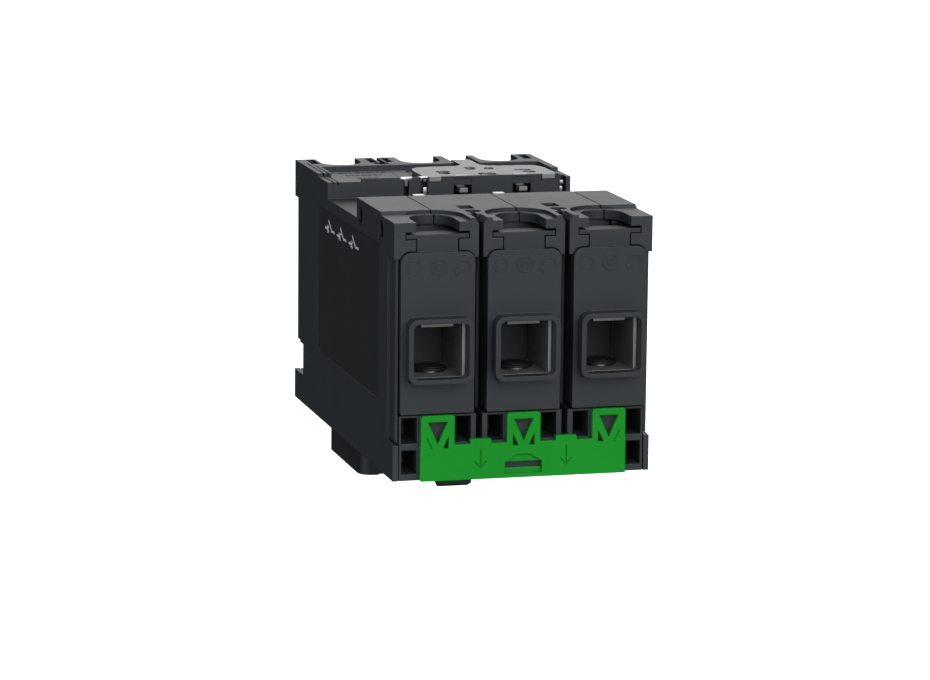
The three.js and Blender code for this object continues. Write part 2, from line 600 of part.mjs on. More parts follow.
function bimetalStrap() {
  const { half, thick } = STRAP;
  const riser = box(-half, half, -TONGUE.front, -24, 36.5, 38.6);
  const strap = box(-half, half, -24 - thick, -24, 21, 37);
  const blade = box(-2.5, 2.5, -43, -25.8, 30, 31);
  const hook = box(-2.5, 2.5, -43, -42, 28.6, 30.2);
  return joined([tongue(38.4), riser, strap, blade, hook]);
}

function braid() {
  // Woven link from the bimetal strap to the arm's tail, in the load-end frame.
  const path = new THREE.CatmullRomCurve3([
    new THREE.Vector3(0, -27.1, 22.2),
    new THREE.Vector3(0, -29.4, 20.4),
    new THREE.Vector3(0, -27.4, 17.6),
    new THREE.Vector3(0, -25.2, 14.6),
    new THREE.Vector3(0, -26.4, 11.4),
  ]);
  const section = outline([[-2.6, -0.7], [2.6, -0.7], [2.6, 0.7], [-2.6, 0.7]]);
  return solid(new THREE.ExtrudeGeometry(section, {
    steps: 14, bevelEnabled: false, extrudePath: path,
  }));
}

// ---------------------------------------------------------------------------------------------
// Lock slide and rail clip
// ---------------------------------------------------------------------------------------------

function lockSlide() {
  const { halfW, z0, z1, top, bottom, tabTop, tabHalf } = LOCK;
  // (X, Y) outline of the plate, its three tabs and the two low humps.
  const plate = alongZ(rounded(-halfW, halfW, -bottom, -top, [0.5, 0.3, 0, 0]), z0, z1);
  const tabs = POLES.map((x) => alongZ(
    rounded(x - tabHalf, x + tabHalf, -top - 1, -tabTop, [0, 0, 0.9, 0.9]), z0, z1));
  const humps = BETWEEN.map((x) => alongZ(
    rounded(x - 3.3, x + 3.3, -top - 1, -67.5, [0, 0, 0.5, 0.5]), z0, z1));
  const runners = BETWEEN.map((x) => box(
    x - RUNNER.half, x + RUNNER.half, -bottom + 1.4, -RUNNER.top, z0 - RUNNER.depth, z0 + 0.2));
  const cuts = [];
  for (const x of POLES) {
    cuts.push(alongZ(outline([[x - 3.1, -61.8], [x, -68.6], [x + 3.1, -61.8]]), z0 - 1, z1 + 1));
    for (const side of SIDES) {
      // The slide's two outermost corners have a shallow line where the others are cut through.
      const depth = x * side > 0 ? z1 - 0.35 : z0 - 1;
      const edge = x + side * 3.4;
      const corner = x + side * 1.6;
      const points = [[edge, -66.3], [edge, -70], [corner, -70]];
      const line = [[edge, -66.3], [edge, -67], [corner + side * 0.3, -70], [corner, -70]];
      const shape = x * side > 0 ? line : points;
      cuts.push(alongZ(outline(side > 0 ? shape.reverse() : shape), depth, z1 + 1));
    }
  }
  for (const x of BETWEEN) {
    cuts.push(box(x - 0.2, x + 0.2, -76.4, -70.6, z1 - 0.35, z1 + 1));
    const head = outline([
      [x - 2, -74.6], [x, -76.9], [x + 2, -74.6], [x + 1.6, -74.4], [x, -76.3], [x - 1.6, -74.4],
    ]);
    cuts.push(alongZ(head, z1 - 0.35, z1 + 1));
  }
  cuts.push(box(-5.9, 5.9, -77.1, -75.1, z0 - 1, z1 + 1));
  cuts.push(box(-5.9, 5.9, -78.7, -77, z1 - 1.3, z1 + 1));
  const moon = new THREE.Shape();
  moon.moveTo(-5.9, -75.2);
  moon.lineTo(5.9, -75.2);
  moon.quadraticCurveTo(0, -69.6, -5.9, -75.2);
  cuts.push(alongZ(moon, z1 - 0.9, z1 + 1));
  return cut(joined([plate, ...tabs, ...humps, ...runners]), cuts);
}

// (X, Z) outline of the sheet-metal rail clip; grow widens it and reach lengthens it.
function clipOutline(grow = 0, reach = 0) {
  const [left, right] = [CLIP.left - grow, CLIP.right + grow];
  const [near, low] = [CLIP.near + grow, CLIP.low - grow - reach];
  const [tail0, tail1] = [TAIL.x0 - grow / 2, TAIL.x1 + grow / 2];
  const end = TAIL.end - grow - reach;
  const shape = new THREE.Shape();
  shape.moveTo(left + 7, low);
  shape.quadraticCurveTo(left, low, left, low + 8);
  shape.lineTo(left, near);
  shape.lineTo(right, near);
  shape.lineTo(right, low + 9);
  shape.quadraticCurveTo(right, low + 1.5, right - 6, low + 1.5);
  shape.lineTo(tail1 + 6, low + 1.5);
  shape.quadraticCurveTo(tail1, low + 1, tail1, low - 4);
  shape.lineTo(tail1, end);
  shape.lineTo(tail0, end);
  shape.lineTo(tail0, low - 4);
  shape.quadraticCurveTo(tail0, low, tail0 - 6, low);
  return shape;
}

function dinClip() {
  const { thick, near } = CLIP;
  const parts = [alongY(clipOutline(), -thick, 0)];
  const under = -thick + 0.2;
  for (const { tongue: [x0, x1] } of HOOKS) {
    parts.push(box(x0, x1, HOOK.low, under, near - HOOK.thick, near));
    parts.push(box(x0, x1, HOOK.low, HOOK.low + HOOK.thick, near - HOOK.thick, HOOK.tip));
  }
  for (const [x0, x1] of TABS) {
    parts.push(box(x0, x1, TAB.low, 0, near - thick, TAB.near));
  }
  const seat = SPRING.z + SPRING.length + 0.6;
  parts.push(box(SPRING.x - 2, SPRING.x + 2, SPRING.y - 1.5, under, seat, seat + 1.2));
  return cut(joined(parts), clipHoles());
}

// Openings of the rail clip as (X, Z) rounds; each row is joined from one round to the next.
function clipHoles() {
  const rounds = CLIP_HOLES.flatMap((row) => row.map(([x, z, r]) => bar("y", x, z, -3, 1, r, 20)));
  const necks = CLIP_HOLES.filter((row) => row.length > 1).map(([[x0, z0, r0], [x1, z1, r1]]) => {
    const neck = Math.min(r0, r1) * 0.8;
    return box(Math.min(x0, x1) - neck, Math.max(x0, x1) + neck, -3, 1, Math.min(z0, z1), Math.max(z0, z1));
  });
  return [...rounds, ...necks];
}

function clipSpring() {
  return coil(SPRING.r, SPRING.wire, 6, 0, SPRING.length);
}

// ---------------------------------------------------------------------------------------------
// Operating mechanism; turning pieces have their origin on their own axis
// ---------------------------------------------------------------------------------------------

function toggle() {
  const { inner, tip, halfW, shield, shieldSpan } = TOGGLE;
  // (Y, Z) outline of the lever, pointing to -Y from the pivot.
  const lever = alongX(outline([
    [-inner, -4.2], [-inner, 4.2], [-30, 4], [-tip + 1.2, 3.1], [-tip, 2], [-tip, -2],
    [-tip + 1.2, -3.1], [-30, -4],
  ]), -halfW + 0.4, halfW - 0.4);
  const grip = alongX(outline([
    [-36, 4.2], [-tip + 1.4, 3.6], [-tip + 1.4, -3.6], [-36, -4.2],
  ]), -halfW, halfW);
  const arc = new THREE.Shape();
  const span = shieldSpan * Math.PI / 180;
  arc.absarc(0, 0, shield, Math.PI - span, Math.PI + span);
  arc.absarc(0, 0, shield - 1.5, Math.PI + span, Math.PI - span, true);
  return joined([lever, grip, alongX(arc, -8.6, 8.6)]);
}

function toggleYoke() {
  const reach = TOGGLE.inner - GAP;
  const plates = SIDES.map((side) => {
    const [a, b] = [side * 7, side * 8.2];
    const plate = box(Math.min(a, b), Math.max(a, b), -reach, 0, -3.6, 3.6);
    const hub = bar("x", 0, 0, a, b, 3.6, 20);
    const pin = bar("x", 0, 0, b - side * 0.2, side * 11, 1.5, 16);
    return joined([plate, hub, pin]);
  });
  const bridge = box(-8.2, 8.2, -reach, -reach + 1.4, -3.6, 3.6);
  return joined([...plates, bridge]);
}

function mechanismFrame() {
  const { in: inner, foot, rear, front, low, high, pin } = FRAME;
  const outer = inner + SHEET;
  const plates = SIDES.map((side) => {
    const [a, b] = [side * inner, side * outer];
    const cheek = alongX(outline([
      [rear, low], [rear, 9], [-50, high], [-66, high], [front, 8], [front, -10], [-66, low],
    ].reverse()), Math.min(a, b), Math.max(a, b));
    const [c, d] = [side * inner, side * foot];
    const [x0, x1] = [Math.min(c, d), Math.max(c, d)];
    const lug = box(x0, x1, rear - SHEET, rear, low + 0.2, low + 1);
    const ear = box(x0, x1, rear - SHEET, rear, 0, 8.5);
    return joined([cheek, lug, ear]);
  });
  const back = box(-outer, outer, -66, rear, low, low + SHEET);
  const tie = box(-outer, outer, rear - SHEET, rear, low, low + 1.6);
  const holes = [
    bar("x", PIVOT.y, PIVOT.z, -foot - 2, foot + 2, pin, 16),
    bar("x", LATCH.y, LATCH.z, -foot - 2, foot + 2, LATCH.hole, 12),
    box(-foot - 2, foot + 2, -63, -52, -11.5, -8),
  ];
  return cut(joined([...plates, back, tie]), holes);
}

function cradle() {
  // Latch lever with a hooked nose, on its own cross pin in the frame.
  const reach = FRAME.in + SHEET + 0.5;
  const plate = alongX(outline(CRADLE_OUTLINE), LATCH.x0, LATCH.x1);
  return plate.add(bar("x", LATCH.y, LATCH.z, -reach, reach, LATCH.pin, 12));
}

function mechanismSpring() {
  return coil(2.2, 0.4, 6, 0, 14);
}

function crossbar() {
  // Arms leave towards +Z when closed; the arm slots open that way.
  let body = bar("x", 0, 0, -CROSSBAR.halfL, CROSSBAR.halfL, CROSSBAR.r, 12);
  const slots = POLES.map((x) => box(x - ARM.half - GAP, x + ARM.half + GAP, -6, 6, -0.8, 6));
  const collars = BETWEEN.map((x) => box(x - 0.9, x + 0.9, -5, 5, -5, 5).subtract(
    bar("x", 0, 0, x - 2, x + 2, 3.9, 12)));
  body = cut(body, [...slots, ...collars]);
  return body;
}

function contactArm() {
  // (Y, Z) outline, pointing to +Z from the crossbar's axis.
  const { half, length } = ARM;
  const blade = alongX(outline([
    [-2.6, -0.5], [2.6, -0.5], [2.6, 10], [7.4, 20], [7.4, length + 1.5], [3.4, length + 2.5],
    [0.4, 20], [-2.6, 10],
  ]), -half, half);
  const tip = box(-2.4, 2.4, 7.2, 10.3, length - 2.4, length + 2.2);
  return blade.add(tip);
}

function arcChute() {
  const { plates: count, first, pitch, halfW, card, z0, z1 } = CHUTE;
  const plates = [];
  for (let i = 0; i < count; i += 1) {
    const y = first - i * pitch;
    const mouth = alongY(outline([[-4, 13], [4, 13], [4, 24], [0, 28], [-4, 24]]), y - 2, y + 1);
    plates.push(cut(box(-halfW, halfW, y - 1, y, z0, z1), [mouth]));
  }
  const cards = SIDES.map((side) => {
    const [a, b] = [side * (halfW - 0.2), side * card];
    return box(Math.min(a, b), Math.max(a, b), first - count * pitch + 2, first + 1, z0, z1);
  });
  return joined([...plates, ...cards]);
}

function tripBar() {
  const { half, halfL } = TRIP;
  const body = box(-halfL, halfL, -half, half, -half, half);
  const rounds = BETWEEN.map((x) => box(x - 1.5, x + 1.5, -4, 4, -4, 4).subtract(
    bar("x", 0, 0, x - 3, x + 3, half, 16)));
  const fingers = POLES.map((x) => box(x - 2, x + 2, 0.4, half, -8.2, -half + 0.2));
  const tongue = box(BUTTON.x - 2, BUTTON.x + 2, -half, -0.4, half - 0.2, 8);
  return joined([cut(body, rounds), ...fingers, tongue]);
}

function tripButton() {
  const cap = bar("y", 0, 0, 0, 5, BUTTON.capR, 20);
  const slot = box(-1.7, 1.7, -1, 0.6, -0.4, 0.4);
  const rod = bar("y", 0, 0, 4.8, 40.3, BUTTON.rodR, 12);
  return cut(cap.add(rod), [slot]);
}

function caseScrew() {
  const head = bar("y", 0, 0, -2.2, 0, 2.7, 20);
  const shank = bar("y", 0, 0, -0.1, 22, 1.4, 12);
  const cross = [box(-1.8, 1.8, -3, -1, -0.35, 0.35), box(-0.35, 0.35, -3, -1, -1.8, 1.8)];
  return cut(head.add(shank), cross);
}

// ---------------------------------------------------------------------------------------------
// Assembly
// ---------------------------------------------------------------------------------------------

const breaker = new THREE.Group();

function addCase() {
  breaker.add(node("base_case", baseCase(), PLASTIC));
  breaker.add(node("front_cover", frontCover(), PLASTIC));
  breaker.add(node("nose_cover", noseCover(), BLACK));
  breaker.add(node("side_label_left", sideLabel(-1), LABEL));
  breaker.add(node("side_label_right", sideLabel(1), LABEL));
  caseScrewPlaces().forEach(([x, z], i) => {
    breaker.add(node(`case_screw_${i + 1}`, caseScrew(), STEEL, { x, y: -CASE.depth + 2.9, z }));
  });
}

function addTerminals() {
  const pieces = { housing: lugHousing(), cage: lugCage(), screw: lugScrew(), pad: lugPad() };
  for (const end of ["line", "load"]) {
    POLES.forEach((x, i) => {
      const terminal = new THREE.Group();
      terminal.position.x = x;
      terminal.rotation.y = end === "line" ? 0 : Math.PI;
      const tag = `${end}_${i + 1}`;
      terminal.add(node(`lug_housing_${tag}`, pieces.housing, PLASTIC));
      terminal.add(node(`lug_cage_${tag}`, pieces.cage, ZINC));
      const axis = { z: ACCESS.z };
      terminal.add(node(`lug_screw_${tag}`, pieces.screw, STEEL, { ...axis, y: -SCREW.tip }));
      terminal.add(node(`lug_pad_${tag}`, pieces.pad, STEEL, { ...axis, y: -SCREW.tip + GAP }));
      if (end === "line") {
        terminal.add(node(`line_contact_${i + 1}`, lineContact(), COPPER));
      } else {
        terminal.add(node(`bimetal_strap_${i + 1}`, bimetalStrap(), COPPER));
        terminal.add(node(`braid_${i + 1}`, braid(), COPPER));
      }
      breaker.add(terminal);
    });
  }
}

function addLocksAndClip() {
  breaker.add(node("line_lock_slide", lockSlide(), GREEN));
  breaker.add(node("load_lock_slide", lockSlide(), GREEN, { turnY: Math.PI }));
  breaker.add(node("din_clip", dinClip(), STEEL));
  breaker.add(node("din_clip_spring", clipSpring(), STEEL, {
    x: SPRING.x, y: SPRING.y, z: SPRING.z,
  }));
}

function addMechanism() {
  const pivot = new THREE.Group();
  pivot.position.set(0, PIVOT.y, PIVOT.z);
  pivot.rotation.x = TOGGLE.off * Math.PI / 180;
  pivot.add(node("toggle", toggle(), BLACK));
  pivot.add(node("toggle_yoke", toggleYoke(), ZINC));
  breaker.add(pivot);
  breaker.add(node("mechanism_frame", mechanismFrame(), ZINC));
  breaker.add(node("cradle", cradle(), STEEL));
  breaker.add(node("mechanism_spring", mechanismSpring(), STEEL, {
    x: 0, y: -40.6, z: -11, turnX: Math.PI / 2,
  }));
  breaker.add(node("trip_bar", tripBar(), BLACK, { y: TRIP.y, z: TRIP.z }));
  breaker.add(node("trip_button", tripButton(), BLACK, {
    x: BUTTON.x, y: -NOSE.front - 0.6, z: BUTTON.z,
  }));
}

function addContacts() {
  const shaft = new THREE.Group();
  shaft.position.set(0, CROSSBAR.y, CROSSBAR.z);
  shaft.rotation.x = CROSSBAR.open * Math.PI / 180;
  shaft.add(node("crossbar", crossbar(), BLACK));
  POLES.forEach((x, i) => {
    shaft.add(node(`contact_arm_${i + 1}`, contactArm(), COPPER, { x }));
  });
  breaker.add(shaft);
  POLES.forEach((x, i) => {
    breaker.add(node(`arc_chute_${i + 1}`, arcChute(), ZINC, { x }));
  });
}

addCase();
addTerminals();
addLocksAndClip();
addMechanism();
addContacts();

export default breaker;
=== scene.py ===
"""Looks of the moulded-case circuit breaker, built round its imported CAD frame.

The frame is in metres, with +Z to the line end and -Y out of the front. Outlines here are in mm.
"""

import json
import math

import bmesh
import bpy
from mathutils import Matrix, Vector


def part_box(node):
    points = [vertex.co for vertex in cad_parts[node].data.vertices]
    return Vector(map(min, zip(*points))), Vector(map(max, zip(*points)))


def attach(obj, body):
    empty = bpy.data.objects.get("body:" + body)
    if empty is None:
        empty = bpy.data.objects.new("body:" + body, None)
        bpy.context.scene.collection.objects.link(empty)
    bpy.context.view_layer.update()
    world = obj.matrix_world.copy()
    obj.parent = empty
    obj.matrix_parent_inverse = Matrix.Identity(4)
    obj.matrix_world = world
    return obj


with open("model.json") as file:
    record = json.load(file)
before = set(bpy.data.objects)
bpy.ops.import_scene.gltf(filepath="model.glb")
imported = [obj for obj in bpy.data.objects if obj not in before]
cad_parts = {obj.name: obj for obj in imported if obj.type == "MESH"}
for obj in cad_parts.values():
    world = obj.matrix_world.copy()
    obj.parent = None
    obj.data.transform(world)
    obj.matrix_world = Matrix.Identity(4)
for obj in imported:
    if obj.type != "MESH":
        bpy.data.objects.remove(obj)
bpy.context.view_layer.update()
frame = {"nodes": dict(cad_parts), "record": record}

MM = 0.001
ENDS = {"line": 1, "load": -1}


def limit(node, axis, high):
    """The lowest or highest coordinate of a CAD node along an axis, in mm."""
    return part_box(node)[high]["XYZ".index(axis)] / MM


def middle(node, axis):
    return (limit(node, axis, 0) + limit(node, axis, 1)) / 2


POLES = [middle(f"lug_housing_line_{i}", "X") for i in (1, 2, 3)]
SIDE = limit("base_case", "X", 1)
LABEL = limit("side_label_right", "X", 1)
REAR = limit("base_case", "Y", 1)
SHOULDER = limit("front_cover", "Y", 0)
NOSE = limit("nose_cover", "Y", 0)
RIM_HEIGHT = 5.0         # of the cable ports, out of the terminal blocks' faces
TERMINAL = limit("lug_housing_line_1", "Z", 1) - RIM_HEIGHT
FIELD_DEPTH = 1.5        # of the sunken field on the load block's rear


# ---------------------------------------------------------------------------------------------
# Node helpers
# ---------------------------------------------------------------------------------------------

class Graph:
    """A new material and short ways to add nodes to it."""

    def __init__(self, name, colour, roughness, metallic=0.0, specular=0.5):
        self.material = bpy.data.materials.new(name)
        self.material.use_nodes = True
        self.material.diffuse_color = (*colour, 1)
        self.tree = self.material.node_tree
        self.shader = self.tree.nodes["Principled BSDF"]
        self.shader.inputs["Base Color"].default_value = (*colour, 1)
        self.shader.inputs["Roughness"].default_value = roughness
        self.shader.inputs["Metallic"].default_value = metallic
        self.shader.inputs["Specular IOR Level"].default_value = specular

    def add(self, kind, **settings):
        node = self.tree.nodes.new(kind)
        for key, value in settings.items():
            setattr(node, key, value)
        return node

    def link(self, out, into):
        self.tree.links.new(out, into)

    def place(self, scale=(1, 1, 1)):
        """Object coordinates, stretched; a CAD object sits at the origin, so they are the row frame."""
        coords = self.add("ShaderNodeTexCoord")
        mapping = self.add("ShaderNodeMapping")
        mapping.inputs["Scale"].default_value = scale
        self.link(coords.outputs["Object"], mapping.inputs["Vector"])
        return mapping.outputs["Vector"]

    def noise(self, size_mm, detail=3.0, scale=(1, 1, 1), roughness=0.5):
        node = self.add("ShaderNodeTexNoise")
        node.inputs["Scale"].default_value = 1000 / size_mm
        node.inputs["Detail"].default_value = detail
        node.inputs["Roughness"].default_value = roughness
        self.link(self.place(scale), node.inputs["Vector"])
        return node.outputs["Fac"]

    def remap(self, value, low, high, to_low, to_high):
        node = self.add("ShaderNodeMapRange")
        node.inputs["From Min"].default_value = low
        node.inputs["From Max"].default_value = high
        node.inputs["To Min"].default_value = to_low
        node.inputs["To Max"].default_value = to_high
        self.link(value, node.inputs["Value"])
        return node.outputs["Result"]

    def maths(self, operation, a, b):
        node = self.add("ShaderNodeMath", operation=operation)
        for socket, value in zip(node.inputs, (a, b)):
            if isinstance(value, (int, float)):
                socket.default_value = value
            else:
                self.link(value, socket)
        return node.outputs["Value"]

    def mix(self, factor, a, b):
        node = self.add("ShaderNodeMix", data_type="RGBA")
        for name, value in (("Factor", factor), ("A", a), ("B", b)):
            socket = [s for s in node.inputs if s.name == name and s.enabled][0]
            if isinstance(value, tuple):
                socket.default_value = (*value, 1)
            elif isinstance(value, (int, float)):
                socket.default_value = value
            else:
                self.link(value, socket)
        return [s for s in node.outputs if s.enabled][0]

    def edges(self, radius_mm):
        """Rounds every edge in the shading and gives a mask that is 1 along it."""
        bevel = self.add("ShaderNodeBevel", samples=6)
        bevel.inputs["Radius"].default_value = radius_mm * MM
        self.rounded = bevel.outputs["Normal"]
        normal = self.add("ShaderNodeNewGeometry")
        dot = self.add("ShaderNodeVectorMath", operation="DOT_PRODUCT")
        self.link(self.rounded, dot.inputs[0])
        self.link(normal.outputs["Normal"], dot.inputs[1])
        return self.remap(dot.outputs["Value"], 1.0, 0.65, 0.0, 1.0)

    def bump(self, height, distance_mm, strength):
        """Fine relief on top of the rounded edges, so edges() comes first."""
        node = self.add("ShaderNodeBump")
        node.inputs["Strength"].default_value = strength
        node.inputs["Distance"].default_value = distance_mm * MM
        self.link(height, node.inputs["Height"])
        self.link(self.rounded, node.inputs["Normal"])
        self.link(node.outputs["Normal"], self.shader.inputs["Normal"])


def shade(colour, factor):
    return tuple(min(1.0, c * factor) for c in colour)


def plastic(name, colour, roughness=0.5, grain=0.35, depth=0.03, edge_wear_and_highlight=1.5, specular=0.5):
    """Moulded plastic: fine spark-eroded grain, faint cloudy tone and lighter edges, partly rubbed wear and
    partly a painted highlight.
    """
    g = Graph(name, colour, roughness, specular=specular)
    cloud = g.remap(g.noise(22, 3), 0.3, 0.7, 0.0, 1.0)
    fleck = g.remap(g.noise(0.9, 2), 0.25, 0.75, 0.0, 1.0)
    tone = g.mix(cloud, shade(colour, 0.96), shade(colour, 1.04))
    tone = g.mix(g.maths("MULTIPLY", fleck, 0.15), tone, shade(colour, 1.3))
    # Lighter, smoother edges along the rounded-edge mask: partly rubbed wear, partly a painted highlight
    # along the edges.
    wear_and_highlight_mask = g.maths("MULTIPLY", g.edges(0.35), g.remap(g.noise(3.5, 4), 0.4, 0.75, 0.25, 0.9))
    tone = g.mix(g.maths("MULTIPLY", wear_and_highlight_mask, 0.8), tone, shade(colour, edge_wear_and_highlight))
    g.link(tone, g.shader.inputs["Base Color"])
    rough = g.remap(g.noise(14, 4), 0.3, 0.7, roughness - 0.02, roughness + 0.02)
    rough = g.maths("SUBTRACT", rough, g.maths("MULTIPLY", wear_and_highlight_mask, 0.1))
    g.link(rough, g.shader.inputs["Roughness"])
    g.bump(g.noise(grain, 2, roughness=0.6), depth, 0.25)
    return g.material


def metal(name, colour, roughness=0.3, stretch=(1, 1, 1), tarnish=0.85, size=0.5):
    """Sheet or turned metal: fine directional scratches, cloudy plating and brighter edges."""
    g = Graph(name, colour, roughness, metallic=1.0)
    lines = g.noise(size, 4, scale=stretch, roughness=0.65)
    cloud = g.remap(g.noise(6, 4), 0.3, 0.7, 0.0, 1.0)
    tone = g.mix(cloud, shade(colour, tarnish), colour)
    tone = g.mix(g.maths("MULTIPLY", g.edges(0.25), 0.5), tone, shade(colour, 1.25))
    g.link(tone, g.shader.inputs["Base Color"])
    rough = g.remap(lines, 0.25, 0.75, roughness - 0.08, roughness + 0.12)
    rough = g.maths("ADD", rough, g.maths("MULTIPLY", cloud, 0.06))
    g.link(rough, g.shader.inputs["Roughness"])
    g.bump(lines, 0.02, 0.3)
    return g.material


PAINTS = {
    # The case and terminal mouldings have strongly lightened edges: mostly a painted highlight along the
    # edges, a little rubbed wear.
    "case": plastic("case_moulding", (0.022, 0.027, 0.031), 0.5, edge_wear_and_highlight=3.2, specular=0.38),
    "housing": plastic("terminal_moulding", (0.021, 0.026, 0.029), 0.48, edge_wear_and_highlight=3.2, specular=0.35),
    "black": plastic("black_moulding", (0.009, 0.0108, 0.012), 0.45, edge_wear_and_highlight=1.8, specular=0.35),
    "green": plastic("green_moulding", (0.002, 0.240, 0.012), 0.45, edge_wear_and_highlight=1.25, specular=0.2),
    "label": plastic("label_film_dark", (0.010, 0.012, 0.0135), 0.45, grain=0.2, depth=0.008, edge_wear_and_highlight=1.3),
    "ink": plastic("white_ink", (0.62, 0.64, 0.65), 0.5, grain=0.15, depth=0.01, edge_wear_and_highlight=1.0),
    "faded": plastic("dark_ink", (0.006, 0.007, 0.007), 0.6, grain=0.15, depth=0.01, edge_wear_and_highlight=1.0, specular=0.1),
    "clip": metal("clip_sheet", (0.27, 0.275, 0.28), 0.45, stretch=(0.12, 1, 1)),
    "steel": metal("zinc_steel", (0.42, 0.43, 0.44), 0.28),
    "bright": metal("bright_steel", (0.62, 0.63, 0.64), 0.28),
    "pad": metal("dull_pad", (0.040, 0.042, 0.045), 0.6),
    "cage": metal("cage_plating", (0.38, 0.385, 0.39), 0.5, stretch=(1, 1, 0.2)),
    "tinned": metal("tinned_copper", (0.22, 0.215, 0.21), 0.34, stretch=(1, 1, 0.15)),
    "copper": metal("copper_strip", (0.72, 0.36, 0.22), 0.28, stretch=(1, 1, 0.15)),
    "braid": metal("copper_braid", (0.66, 0.34, 0.22), 0.42, size=0.25),
    "spring": metal("spring_wire", (0.55, 0.55, 0.54), 0.25),
}


# ---------------------------------------------------------------------------------------------
# CAD nodes: rounded edges and finishes
# ---------------------------------------------------------------------------------------------

def smooth_group():
    """A modifier that smooths the shading over shallow angles, so the mesh itself stays as imported."""
    group = bpy.data.node_groups.new("smooth_by_angle", "GeometryNodeTree")
    group.interface.new_socket("Geometry", in_out="INPUT", socket_type="NodeSocketGeometry")
    group.interface.new_socket("Geometry", in_out="OUTPUT", socket_type="NodeSocketGeometry")
    nodes, links = group.nodes, group.links
    start = nodes.new("NodeGroupInput")
    bare = nodes.new("GeometryNodeRemoveAttribute")
    bare.inputs["Name"].default_value = "custom_normal"
    angle = nodes.new("GeometryNodeInputMeshEdgeAngle")
    shallow = nodes.new("FunctionNodeCompare")
    shallow.data_type = "FLOAT"
    shallow.operation = "LESS_THAN"
    shallow.inputs["B"].default_value = math.radians(26)
    faces = nodes.new("GeometryNodeSetShadeSmooth")
    faces.domain = "FACE"
    edges = nodes.new("GeometryNodeSetShadeSmooth")
    edges.domain = "EDGE"
    end = nodes.new("NodeGroupOutput")
    links.new(start.outputs[0], bare.inputs["Geometry"])
    links.new(bare.outputs["Geometry"], faces.inputs["Geometry"])
    links.new(faces.outputs["Geometry"], edges.inputs["Geometry"])
    links.new(angle.outputs["Unsigned Angle"], shallow.inputs["A"])
    links.new(shallow.outputs["Result"], edges.inputs["Shade Smooth"])
    links.new(edges.outputs["Geometry"], end.inputs[0])
    return group


SMOOTH = smooth_group()


def soften(obj, width_mm):
    """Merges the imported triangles, smooths round faces and, on simple nodes, rounds the edges."""
    weld = obj.modifiers.new("weld", "WELD")
    weld.merge_threshold = 2e-6
    if not width_mm:
        obj.modifiers.new("smooth", "NODES").node_group = SMOOTH
        return
    flat = obj.modifiers.new("flat", "DECIMATE")
    flat.decimate_type = "DISSOLVE"
    flat.angle_limit = math.radians(0.6)
    obj.modifiers.new("smooth", "NODES").node_group = SMOOTH
    bevel = obj.modifiers.new("bevel", "BEVEL")
    bevel.width = width_mm * MM
    bevel.segments = 2
    bevel.limit_method = "ANGLE"
    bevel.angle_limit = math.radians(32)
    bevel.use_clamp_overlap = False
    bevel.miter_outer = "MITER_ARC"
    normals = obj.modifiers.new("normals", "WEIGHTED_NORMAL")
    normals.keep_sharp = False
    normals.weight = 60


# Paint of each kind of node, and the edge radius in mm of those simple enough for a real one.
FINISH = {
    "base_case": ("case", 0), "front_cover": ("case", 0), "nose_cover": ("black", 0),
    "toggle_yoke": ("cage", 0), "toggle": ("black", 0.4), "trip_button": ("black", 0.2),
    "trip_bar": ("black", 0), "crossbar": ("black", 0), "side_label": ("label", 0),
    "lug_housing": ("housing", 0), "lug_cage": ("cage", 0), "lug_screw": ("steel", 0),
    "lug_pad": ("pad", 0.12), "line_lock_slide": ("green", 0), "load_lock_slide": ("green", 0),
    "din_clip_spring": ("spring", 0), "din_clip": ("clip", 0), "mechanism_spring": ("spring", 0),
    "mechanism_frame": ("cage", 0), "cradle": ("steel", 0), "arc_chute": ("cage", 0),
    "line_contact": ("tinned", 0.12), "bimetal_strap": ("tinned", 0.12), "braid": ("braid", 0),
    "contact_arm": ("copper", 0), "case_screw": ("steel", 0),
}


def finish_nodes():
    for name, obj in frame["nodes"].items():
        key = max((k for k in FINISH if name.startswith(k)), key=len)
        paint, width = FINISH[key]
        obj.data.materials.clear()
        obj.data.materials.append(PAINTS[paint])
        soften(obj, width)


finish_nodes()


# ---------------------------------------------------------------------------------------------
# Detail pieces. Outlines are in mm on a face; a place function turns (u, v, height) into the frame.
# ---------------------------------------------------------------------------------------------

def ribbon(bm, points, width, place, high, low=-0.06, closed=False):
    """A flat stroke of constant width along the points."""
    count = len(points)
    points = [Vector(p) for p in points]
    rings = []
    for i, point in enumerate(points):
        into = (point - points[i - 1]).normalized() if i or closed else None
        out = (points[(i + 1) % count] - point).normalized() if i < count - 1 or closed else None
        ahead = ((into or out) + (out or into)).normalized()
        half = Vector((-ahead.y, ahead.x)) * (width / 2 / max(0.6, ahead.dot(out or into)))
        corners = ((point + half, low), (point + half, high), (point - half, high), (point - half, low))
        rings.append([bm.verts.new(place(q.x, q.y, h)) for q, h in corners])
    for one, two in zip(rings, rings[1:] + (rings[:1] if closed else [])):
        for k in range(4):
            bm.faces.new((one[k], one[(k + 1) % 4], two[(k + 1) % 4], two[k]))
    if not closed:
        bm.faces.new(rings[0])
        bm.faces.new(rings[-1])


def prism(bm, outline, place, low, high):
    """A straight-sided block over a closed outline."""
    lower = [bm.verts.new(place(u, v, low)) for u, v in outline]
    upper = [bm.verts.new(place(u, v, high)) for u, v in outline]
    bm.faces.new(lower)
    bm.faces.new(upper)
    for i in range(len(outline)):
        j = (i + 1) % len(outline)
        bm.faces.new((lower[i], lower[j], upper[j], upper[i]))


